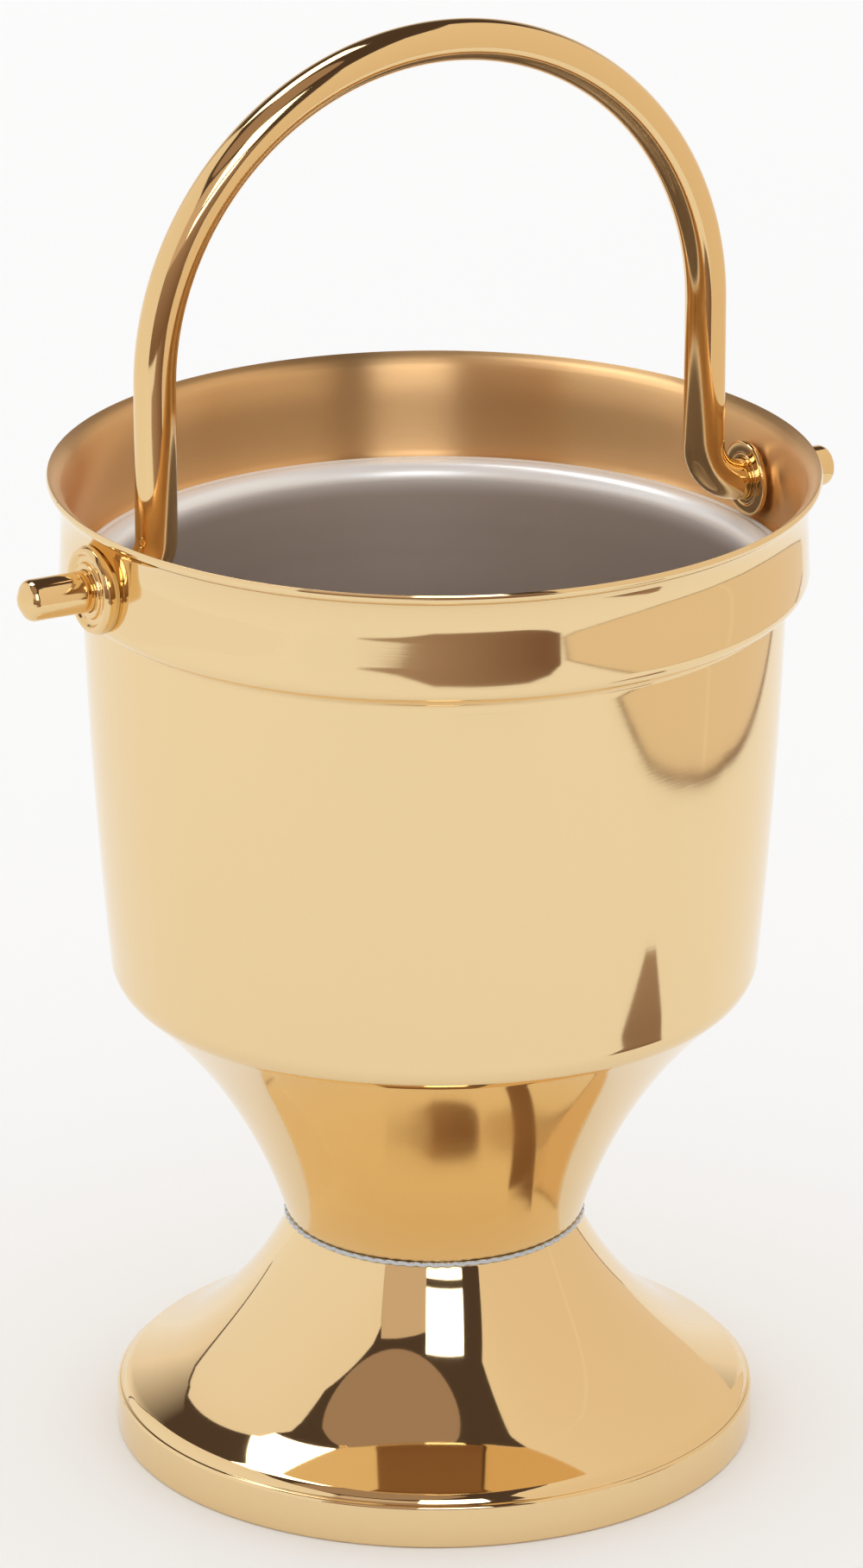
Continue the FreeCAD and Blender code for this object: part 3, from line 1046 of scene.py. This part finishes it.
@dataclass
class Clamp:
    """Bolt, nut and washers that hold the bowl on its foot.

    Attributes:
        head_base: Underside of the bolt's head.
        bolt_radius: Radius of the bolt's shank.
        flats: Distance from the axis to a flat of the head or nut.
        corners: Distance from the axis to a corner.
    """

    head_base: float
    bolt_radius: float
    flats: float
    corners: float
    clearance: float = 0.0003
    face_share: float = 0.96
    cone_rise: float = 0.00055
    thread_pitch: float = 0.001
    thread_depth: float = 0.00045
    thread_runout: float = 0.0015
    thread_rows: int = 120
    tip: float = 0.0008
    bore_chamfer: float = 0.0004
    edge: float = 0.00025
    split: float = 0.001
    spring_land: float = 0.0022
    lean_fade: int = 9
    split_segments: int = 96

    @classmethod
    def read(cls) -> "Clamp":
        """Measure the hardware's nodes.

        Returns:
            The clamp, with the sizes that the frame fixes.
        """
        _, bolt_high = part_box("clamp_bolt")
        _, washer_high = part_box("bolt_washer")
        _, spring_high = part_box("spring_washer")
        return cls(head_base=washer_high.z, bolt_radius=spring_high.y - cls.spring_land,
                   flats=bolt_high.y, corners=bolt_high.x)

    def build(self, material: bpy.types.Material) -> None:
        """Make the hardware and dress it.

        Args:
            material: Its finish.
        """
        for node, piece in (
            ("clamp_bolt", self._bolt()),
            ("clamp_nut", self._nut()),
            ("bolt_washer", self._washer("washer_head", "bolt_washer")),
            ("foot_washer", self._washer("washer_broad", "foot_washer")),
            ("spring_washer", self._spring_washer()),
        ):
            face_outward(piece)
            dress(piece, material, "fastener_steel", POT_BODY, node)

    def _hexed(self, radius: float, _height: float, turn: float) -> float:
        """Change of radius that brings a round section in to the six flats.

        Args:
            radius: Radius of the round section.
            _height: Its height, which changes nothing.
            turn: Angle round the axis.

        Returns:
            The change, 0 or less.
        """
        sixth = math.pi / 3
        off_flat = (turn + math.pi / 2 + sixth / 2) % sixth - sixth / 2
        return min(0.0, self.flats / math.cos(off_flat) - radius)

    def _hex_side(self, low: float, high: float, top_only: bool) -> list[Point]:
        """Section of a hexagon's side, its ends turned to a cone.

        Args:
            low: Height of its lower end.
            high: Height of its upper end.
            top_only: Whether only the upper end is turned.

        Returns:
            Points from the lower end to the upper.
        """
        start = self.flats * self.face_share
        cone = [(start + (self.corners - start) * share, self.cone_rise * share)
                for share in (0.0, 0.25, 0.5, 0.75, 1.0)]
        upper = [(radius, high - depth) for radius, depth in reversed(cone)]
        lower = [(self.corners, low)] if top_only else \
            [(radius, low + depth) for radius, depth in cone]
        return lower + upper

    def _bolt(self) -> bpy.types.Object:
        """Hexagon bolt, its shank threaded, its head turned to a cone above.

        Returns:
            The bolt.
        """
        low, high = (corner.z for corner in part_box("clamp_bolt"))
        radius = self.bolt_radius
        start = low + self.tip
        length = self.head_base - start
        shank = [(radius - self.tip * 0.7, low), (radius, start)]
        shank += [(radius, start + length * row / self.thread_rows)
                  for row in range(1, self.thread_rows + 1)]
        step_out = radius + 2 * HAIR
        section = ([(0.0, low)] + shank + [(step_out, self.head_base)]
                   + self._hex_side(self.head_base, high, top_only=True)
                   + [(self.flats * 0.5, high), (0.0, high)])

        def swell(reach: float, height: float, turn: float) -> float:
            """Change of radius: a thread on the shank, flats on the head.

            Args:
                reach: Radius of the point.
                height: Its height.
                turn: Its angle round the axis.

            Returns:
                The change.
            """
            if reach > radius + HAIR:
                return self._hexed(reach, height, turn)
            phase = ((height - low) / self.thread_pitch - turn / FULL_TURN) % 1.0
            fade = min(1.0, max(0.0, (self.head_base - height) / self.thread_runout))
            return -self.thread_depth * fade * abs(2 * phase - 1)

        return turned("bolt_hex", section, closed=False, segments=96, swell=swell,
                      smooth_angle=50.0)

    def _nut(self) -> bpy.types.Object:
        """Hexagon nut, turned to a cone at both ends.

        Returns:
            The nut.
        """
        low, high = (corner.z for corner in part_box("clamp_nut"))
        bore = self.bolt_radius
        mouth = bore + self.bore_chamfer
        section = ([(mouth, low)] + self._hex_side(low, high, top_only=False)
                   + [(mouth, high), (bore, high - self.bore_chamfer),
                      (bore, low + self.bore_chamfer)])
        return turned("nut_hex", section, segments=96, swell=self._hexed, smooth_angle=30.0)

    def _ring_section(self, node: str) -> list[Point]:
        """Section of a washer with softened edges.

        Args:
            node: The CAD node that it stands for.

        Returns:
            Points of radius and height.
        """
        low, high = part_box(node)
        bore = self.bolt_radius + self.clearance
        return rounded_section([(bore, low.z), (high.y, low.z), (high.y, high.z),
                                (bore, high.z)], self.edge)

    def _washer(self, name: str, node: str) -> bpy.types.Object:
        """Flat washer with softened edges."""
        return turned(name, self._ring_section(node), segments=128)

    def _spring_washer(self) -> bpy.types.Object:
        """Lock washer cut through by a slanting slot.

        Returns:
            The washer.
        """
        low, high = (corner.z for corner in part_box("spring_washer"))
        section = self._ring_section("spring_washer")
        count = len(section)
        vertices: list[tuple[float, float, float]] = []
        for index in range(self.split_segments + 1):
            share = index / self.split_segments
            side = 1 - 2 * share
            for radius, height in section:
                lean = 2 * self.split * (height - (low + high) / 2) / (high - low)
                shift = self.split / 2 * side + lean * abs(side) ** self.lean_fade
                turn = shift / radius + FULL_TURN * share
                vertices.append((radius * math.cos(turn), radius * math.sin(turn), height))
        faces: list[tuple[int, ...]] = list(grid_faces(self.split_segments + 1, count, False))
        faces.append(tuple(range(count)))
        faces.append(tuple(len(vertices) - 1 - index for index in range(count)))
        return mesh_piece("washer_split", vertices, faces, 40.0)


# ------------------------------------------------------------------ bail and bearings

@dataclass
class Bail:
    """Bent rod: semicircular crown, straight legs, hooks and domed stubs."""

    datum: Datum
    hook_radius: float = 0.0075
    end_play: float = 0.00035
    dome: float = 0.0026
    edge_round: float = 0.0018
    round_sweep: float = math.radians(72)
    facets: int = 64
    step: float = 0.0011

    def build(self, material: bpy.types.Material) -> None:
        """Make the rod's mesh and dress it.

        Args:
            material: The finish.
        """
        rings = [(place, way, self.datum.rod_radius) for place, way in self._route()]
        vertices: list[Vector] = []
        across = Vector((0.0, 1.0, 0.0))
        for place, way, radius in self._capped(rings):
            up = way.cross(across)
            for index in range(self.facets):
                turn = FULL_TURN * index / self.facets
                vertices.append(place + radius * (math.cos(turn) * across
                                                  + math.sin(turn) * up))
        count = len(vertices) // self.facets
        faces: list[tuple[int, ...]] = list(grid_faces(count, self.facets, False))
        faces.append(tuple(range(self.facets)))
        faces.append(tuple(len(vertices) - 1 - index for index in range(self.facets)))
        piece = mesh_piece("bail_rod", vertices, faces)
        face_outward(piece)
        dress(piece, material, "bail_brass", BAIL_BODY, "bail_handle")

    def _route(self) -> list[tuple[Vector, Vector]]:
        """Places and directions along the rod, from the left stub to the right one.

        Returns:
            Each place with the rod's direction there.
        """
        pivot = self.datum.pivot_height
        root = self.datum.bush_end - self.end_play
        leg = root - self.hook_radius
        crown = self.datum.crown_top - self.datum.rod_radius - leg
        half: list[tuple[float, float, float]] = []
        reach = self.datum.stub_reach - self.dome
        for share in self._shares(reach - root):
            half.append((reach - (reach - root) * share, pivot, math.pi))
        for share in self._shares(self.hook_radius * math.pi / 2):
            turn = math.pi / 2 * share
            half.append((root - self.hook_radius * math.sin(turn),
                         pivot + self.hook_radius * (1 - math.cos(turn)), math.pi - turn))
        foot = pivot + self.hook_radius
        for share in self._shares(crown - foot):
            half.append((leg, foot + (crown - foot) * share, math.pi / 2))
        for share in self._shares(leg * math.pi / 2):
            turn = math.pi / 2 * share
            half.append((leg * math.cos(turn), crown + leg * math.sin(turn),
                         math.pi / 2 + turn))
        route = [(Vector((x, 0, z)), Vector((math.cos(way), 0, math.sin(way))))
                 for x, z, way in half]
        mirrored = [(Vector((-place.x, 0, place.z)), Vector((-way.x, 0, way.z)))
                    for place, way in route]
        back = [(place, -way) for place, way in reversed(route)]
        middle = (Vector((0, 0, crown + leg)), Vector((1, 0, 0)))
        return mirrored + [middle] + back

    def _shares(self, length: float) -> list[float]:
        """Even shares of a stretch, leaving out its end."""
        count = max(2, math.ceil(length / self.step))
        return [index / count for index in range(count)]

    def _capped(self, rings: list[tuple[Vector, Vector, float]]
                ) -> list[tuple[Vector, Vector, float]]:
        """Add a shallow dome to each end of a row of rings.

        Args:
            rings: Place, direction and radius of each ring along the rod.

        Returns:
            The same rings with the domes' rings before and after them.
        """
        radius = self.datum.rod_radius
        shoulder = radius - self.edge_round
        dome = []
        for index in range(1, 9):
            turn = self.round_sweep * index / 8
            dome.append((self.edge_round * math.sin(turn),
                         shoulder + self.edge_round * math.cos(turn)))
        out, size = dome[-1]
        for index in range(1, 11):
            share = index / 10
            width = size * (1 - share) + HAIR * share
            rise = 1 - (width / size) ** 2
            dome.append((out + (self.dome - out) * rise, width))
        first, last = rings[0], rings[-1]
        start = [(first[0] - first[1] * out, first[1], size) for out, size in dome]
        finish = [(last[0] + last[1] * out, last[1], size) for out, size in dome]
        return start[::-1] + rings + finish


@dataclass
class Bearing:
    """One side's bush and the washer inside the collar."""

    datum: Datum
    bowl: Bowl
    side: int
    name: str
    running_clearance: float = 0.00005
    wall: float = 0.0009
    hub_land: float = 0.00035
    dish_width: float = 0.001
    dish_depth: float = 0.0007
    rim_width: float = 0.0018
    flange_thickness: float = 0.0016
    ease: float = 0.00022
    fit: float = 0.00004
    washer_ease: float = 0.00045

    def build(self, material: bpy.types.Material) -> None:
        """Make the bush and its washer and dress them.

        Args:
            material: The finish.
        """
        bore = self.datum.rod_radius + self.running_clearance
        barrel = bore + self.wall
        hub = barrel + self.hub_land
        face = self.datum.bush_face
        seat = face - self.flange_thickness
        floor = face - self.dish_depth
        flange = self.datum.bush_flange
        bush = rounded_section([
            (bore, self.datum.bush_end),
            (barrel, self.datum.bush_end),
            (barrel, seat),
            (flange - HAIR, seat),
            (flange, seat + 0.55 * self.flange_thickness),
            (flange - 0.3 * self.rim_width, face),
            (flange - 0.75 * self.rim_width, face),
            (hub + self.dish_width, floor),
            (hub, floor),
            (hub - 0.5 * self.hub_land, face),
            (bore, face),
        ], self.ease)
        washer = rounded_section([
            (barrel, self.datum.bush_end),
            (self.datum.washer_radius, self.datum.bush_end),
            (self.datum.washer_radius, self.datum.washer_back),
            (barrel, self.datum.washer_back),
        ], self.washer_ease)
        for name, section, node in ((f"bush_{self.name}_eyelet", bush, f"bush_{self.name}"),
                                    (f"washer_{self.name}_ring", washer,
                                     f"bush_washer_{self.name}")):
            piece = turned(name, section, segments=128)
            settle(piece, self._placement())
            if section is bush:
                self._seat(piece, seat, barrel + self.ease)
            face_outward(piece)
            dress(piece, material, "bush_brass", POT_BODY, node)

    def _seat(self, piece: bpy.types.Object, seat: float, barrel: float) -> None:
        """Draw the back of the flange in to the round of the collar.

        Args:
            piece: The bush.
            seat: Where the flange's flat back stands, along the pivot.
            barrel: Radius from the pivot outside which the back is drawn in.
        """
        for vertex in piece.data.vertices:
            x, y, z = vertex.co
            from_pivot = math.hypot(y, z - self.datum.pivot_height)
            if abs(x) < seat + self.ease and from_pivot > barrel:
                wall = math.sqrt(self.bowl.radius_at(z) ** 2 - y * y) + self.fit
                vertex.co.x = self.side * min(abs(x), wall)
        piece.data.update()

    def _placement(self) -> Matrix:
        """Lay the Z axis outward along the pivot on this side."""
        lay = Matrix.Rotation(math.radians(90 * self.side), 4, "Y")
        return Matrix.Translation((0, 0, self.datum.pivot_height)) @ lay


# ------------------------------------------------------------------ studio

class Tone(Enum):
    """How bright and how warm each surface round the pot looks in the polished brass."""

    LAMP = (3.7, 3.8, 3.9)
    WHITE = (0.96, 0.95, 0.94)
    PAPER = (0.92, 0.86, 0.80)
    CREAM = (0.92, 0.82, 0.70)
    BUFF = (0.86, 0.74, 0.61)
    TAN = (0.68, 0.55, 0.46)
    BROWN = (0.40, 0.29, 0.23)
    UMBER = (0.22, 0.13, 0.09)
    SHADE = (0.085, 0.06, 0.05)


@dataclass(frozen=True)
class Card:
    """A board that shows only in reflections, standing upright round the pot.

    Attributes:
        name: The board's name.
        base: Its foot line, as azimuth in degrees from the front and distance.
        low: Height of its lower edge.
        high: Height of its upper edge.
        low_tone: Its tone at the lower edge.
        high_tone: Its tone at the upper edge.
    """

    name: str
    base: tuple[tuple[float, float], ...]
    low: float
    high: float
    low_tone: Tone
    high_tone: Tone

    def build(self) -> None:
        """Stand the board up."""
        feet = [around(azimuth, distance) for azimuth, distance in self.base]
        vertices = [(x, y, self.low) for x, y in feet] + [(x, y, self.high) for x, y in feet]
        count = len(feet)
        faces = [(i, i + 1, count + i + 1, count + i) for i in range(count - 1)]
        hang(self.name, vertices, faces, self.low_tone, self.high_tone,
             Vector((0, 0, self.low)), Vector((0, 0, self.high)))


def around(azimuth: float, distance: float) -> tuple[float, float]:
    """Place on the floor at an azimuth in degrees from the front and a distance."""
    turn = math.radians(azimuth)
    return distance * math.sin(turn), -distance * math.cos(turn)


def hang(name: str, vertices: Sequence[Sequence[float]], faces: Sequence[Sequence[int]],
         tone: Tone, far_tone: Tone, start: Vector, end: Vector) -> None:
    """Make a board that only reflections see, its tone running from start to end.

    Args:
        name: The board's name.
        vertices: Its corners.
        faces: Its faces.
        tone: Tone at the start.
        far_tone: Tone at the end.
        start: Where the change of tone begins.
        end: Where the change of tone ends.
    """
    board = mesh_piece(name, vertices, faces)
    material = bpy.data.materials.new(name)
    material.use_nodes = True
    bench = Bench(material.node_tree)
    way = end - start
    where = bench.add("ShaderNodeTexCoord").outputs["Object"]
    from_start = bench.add("ShaderNodeVectorMath", {"operation": "SUBTRACT"})
    bench.feed(from_start.inputs[0], where)
    bench.feed(from_start.inputs[1], tuple(start))
    along = bench.add("ShaderNodeVectorMath", {"operation": "DOT_PRODUCT"})
    bench.feed(along.inputs[0], from_start.outputs[0])
    bench.feed(along.inputs[1], tuple(way / max(way.length_squared, 1e-9)))
    share = bench.add("ShaderNodeClamp", Value=along.outputs["Value"])
    colour = bench.blend(share.outputs[0], tone.value + (1.0,), far_tone.value + (1.0,))
    glow = bench.add("ShaderNodeEmission", Color=colour, Strength=1.0)
    bench.add("ShaderNodeOutputMaterial", Surface=glow.outputs[0])
    board.data.materials.append(material)
    for ray in ("camera", "diffuse", "transmission", "volume_scatter", "shadow"):
        setattr(board, f"visible_{ray}", False)


@dataclass
class Studio:
    """Pale floor, soft white surroundings, boards for the reflections and the camera."""

    camera_azimuth: float = 28.0
    camera_distance: float = 1.4317
    camera_height: float = 0.6544
    camera_pitch: float = 20.48
    camera_side_step: float = -0.0005
    lens: float = 202.2
    floor_radius: float = 3.0
    ceiling: float = 1.03
    reflector_place: Point = (-0.45, -0.23)
    reflector_radius: float = 0.44
    reflector_corners: int = 48

    def camera(self) -> None:
        """Make the scene's camera."""
        data = bpy.data.cameras.new("camera")
        data.sensor_width = 36.0
        data.lens = self.lens
        data.clip_start = 0.05
        data.clip_end = 50.0
        camera = bpy.data.objects.new("camera", data)
        turn = math.radians(self.camera_azimuth)
        right = Vector((math.cos(turn), -math.sin(turn), 0.0))
        away = Vector((-math.sin(turn), -math.cos(turn), 0.0))
        camera.location = (away * self.camera_distance + right * self.camera_side_step
                           + Vector((0, 0, self.camera_height)))
        camera.rotation_euler = (math.radians(90 - self.camera_pitch), 0, -turn)
        bpy.context.scene.collection.objects.link(camera)
        bpy.context.scene.camera = camera

    def floor(self) -> None:
        """Make the floor, a wide pale disc."""
        segments = 96
        turns = [FULL_TURN * index / segments for index in range(segments)]
        ring = [(self.floor_radius * math.cos(turn), self.floor_radius * math.sin(turn), 0.0)
                for turn in turns]
        disc = mesh_piece("floor", ring, [tuple(range(segments))])
        material = bpy.data.materials.new("floor_paper")
        material.use_nodes = True
        bench = Bench(material.node_tree)
        shader = bench.add("ShaderNodeBsdfPrincipled", Base_Color=(0.96, 0.96, 0.96, 1.0),
                           Roughness=0.9)
        bench.add("ShaderNodeOutputMaterial", Surface=shader.outputs[0])
        disc.data.materials.append(material)

    def boards(self) -> None:
        """Stand the boards round the pot and hang those over it."""
        right = ((6, 0.80), (30, 0.42), (42, 0.36), (60, 0.343), (78, 0.349), (104, 0.40),
                 (120, 0.50))
        left = ((-166, 1.14), (-146, 0.50), (-129, 0.43), (-102, 0.54), (-71, 0.70),
                (-66, 0.82))
        back = ((-167, 1.2), (-190, 1.2), (-215, 1.2), (-240, 1.2))
        for card in (
            # A thin dark strip along the right board's foot: a painted shadow line, as the
            # boards cast no shadow.
            Card("board_right_painted_shadow", right, 0.0, 0.004, Tone.UMBER, Tone.UMBER),
            Card("board_right", right, 0.004, 0.98, Tone.BUFF, Tone.CREAM),
            Card("board_right_seam", ((65.4, 0.341), (66.6, 0.341)), 0.004, 0.98,
                 Tone.CREAM, Tone.CREAM),
            Card("board_left", left, 0.0, 0.69, Tone.WHITE, Tone.PAPER),
            Card("wall_back_low", back, 0.0, 0.30, Tone.WHITE, Tone.PAPER),
            Card("wall_back_high", back, 0.30, 0.85, Tone.PAPER, Tone.SHADE),
            Card("front_low", ((-66, 1.1), (-34, 1.1), (4, 1.15)), 0.0, 0.46,
                 Tone.UMBER, Tone.BROWN),
            Card("front_tan", ((-66, 1.1), (-34, 1.1)), 0.46, 1.05, Tone.TAN, Tone.TAN),
            Card("lamp_low", ((-34, 1.0), (-7, 1.0)), 0.44, 0.53, Tone.LAMP, Tone.LAMP),
            Card("lamp_high", ((-34, 1.0), (-7, 1.0)), 0.59, 1.2, Tone.LAMP, Tone.LAMP),
        ):
            card.build()
        self._dark_table()
        self._block()
        self._overhead()

    def _dark_table(self) -> None:
        """Lay the dark beyond the paper's front edge."""
        lift = 0.0006
        strips = ((-50, 0.63, 0.64), (-46, 0.61, 0.66), (-42, 0.59, 0.68),
                  (-38, 0.56, 0.70), (-33, 0.50, 0.76), (-28, 0.448, 0.95),
                  (-25, 0.448, 1.3), (-1, 0.448, 1.3), (5, 0.50, 1.3), (8.5, 0.62, 1.3))
        near = [around(azimuth, distance) for azimuth, distance, _ in strips]
        far = [around(azimuth, distance) for azimuth, _, distance in strips]
        vertices = [(x, y, lift) for x, y in near + far]
        count = len(strips)
        faces = [(i, i + 1, count + i + 1, count + i) for i in range(count - 1)]
        hang("table_front", vertices, faces, Tone.BROWN, Tone.UMBER,
             Vector((-0.35, -0.5, 0)), Vector((0.05, -0.6, 0)))

    def _block(self) -> None:
        """Stand a small dark block near the pot, narrower towards its top."""
        corners = ((29, 0.168, 0.0), (52, 0.176, 0.0), (49, 0.178, 0.018),
                   (44, 0.182, 0.034), (40, 0.182, 0.034), (33, 0.174, 0.018))
        vertices = [(*around(azimuth, distance), height)
                    for azimuth, distance, height in corners]
        hang("block_small", vertices, [(0, 1, 2, 5), (5, 2, 3, 4)], Tone.UMBER, Tone.BROWN,
             Vector((0, 0, 0)), Vector((0, 0, 0.034)))

    def _overhead(self) -> None:
        """Hang a dull round reflector and a bright panel over the pot."""
        centre_x, centre_y = self.reflector_place
        count = self.reflector_corners
        turns = [FULL_TURN * index / count for index in range(count)]
        round_rim = [(centre_x + self.reflector_radius * math.cos(turn),
                      centre_y + self.reflector_radius * math.sin(turn), self.ceiling)
                     for turn in turns]
        hang("reflector_round", round_rim, [tuple(range(count))], Tone.BROWN, Tone.BROWN,
             Vector((0, 0, 0)), Vector((1, 0, 0)))
        panel = [(-0.50, 0.69, self.ceiling), (-0.30, 0.22, self.ceiling),
                 (0.10, 0.22, self.ceiling), (0.10, 0.69, self.ceiling)]
        hang("panel_bright", panel, [(0, 1, 2, 3)], Tone.LAMP, Tone.LAMP,
             Vector((0, 0, 0)), Vector((1, 0, 0)))

    def world(self) -> None:
        """Light the floor from a white surround, dark where only reflections look."""
        world = bpy.data.worlds.new("surround")
        world.use_nodes = True
        bench = Bench(world.node_tree)
        path = bench.add("ShaderNodeLightPath")
        colour = bench.blend(path.outputs["Is Glossy Ray"], (1.0, 1.0, 1.0, 1.0),
                             Tone.SHADE.value + (1.0,))
        glow = bench.add("ShaderNodeBackground", Color=colour, Strength=1.0)
        bench.add("ShaderNodeOutputWorld", Surface=glow.outputs[0])
        scene = bpy.context.scene
        scene.world = world
        scene.view_settings.view_transform = "Standard"

    def build(self) -> None:
        """Make everything that isn't the pot."""
        self.camera()
        self.floor()
        self.boards()
        self.world()


# ------------------------------------------------------------------ all together

def main() -> None:
    """Build the studio, the finishes and every piece."""
    logging.basicConfig(level=logging.INFO)
    Studio().build()
    datum = Datum.read()
    shared = SharedGroups()
    bowl_finish = TurnedMetal(
        "spun_brass", Metal.GOLD_BRASS, gloss_roughness=0.05, haze_roughness=0.03,
        lines=900.0, line_depth=0.0000012, streak=0.03).make(shared)
    # The collar's inside: brushed brass whose colour is partly a painted reflection of brass in
    # brass.
    collar_finish = TurnedMetal(
        "brushed_brass_painted_reflection", Metal.BRUSHED_BRASS_WITH_PAINTED_REFLECTION, gloss_roughness=0.31, haze_roughness=0.04,
        lines=1400.0, line_depth=0.000004, streak=0.08, grain=1.0,
        metallic=0.92).make(shared)
    foot_finish = TurnedMetal(
        "foot_brass", Metal.GOLD_BRASS, gloss_roughness=0.03, haze_roughness=0.02,
        lines=900.0, line_depth=0.0000006, streak=0.02).make(shared)
    rod_finish = TurnedMetal(
        "rod_brass", Metal.ROD_BRASS, gloss_roughness=0.05, haze_roughness=0.03,
        lines=300.0, line_depth=0.0000004, streak=0.02).make(shared)
    bush_finish = TurnedMetal(
        "bush_brass", Metal.ROD_BRASS, gloss_roughness=0.06, haze_roughness=0.03,
        lines=900.0, line_depth=0.0000006, streak=0.03).make(shared)
    # The liner: painted shade and painted brass reflection inside, a painted highlight on its
    # flange and mouth.
    liner_finish = DrawnAluminium("drawn_aluminium", datum.liner_top - 0.001).make(shared)
    ring_finish = TurnedMetal(
        "ring_metal", Metal.DARK_STEEL, gloss_roughness=0.22, haze_roughness=0.05,
        lines=900.0, line_depth=0.000001, streak=0.05, tint=0.8).make(shared)
    zinc_finish = TurnedMetal(
        "zinc_plate", Metal.ZINC, gloss_roughness=0.3, haze_roughness=0.1,
        lines=900.0, line_depth=0.000003, streak=0.1).make(shared)

    bowl = Bowl(datum)
    bowl.build(bowl_finish, collar_finish)
    Foot(datum).build(foot_finish)
    JointRing(datum).build(ring_finish)
    Liner(datum).build(liner_finish)
    Bail(datum).build(rod_finish)
    for side, name in ((-1, "left"), (1, "right")):
        Bearing(datum, bowl, side, name).build(bush_finish)
    Clamp.read().build(zinc_finish)


if __name__ == "__main__":
    main()
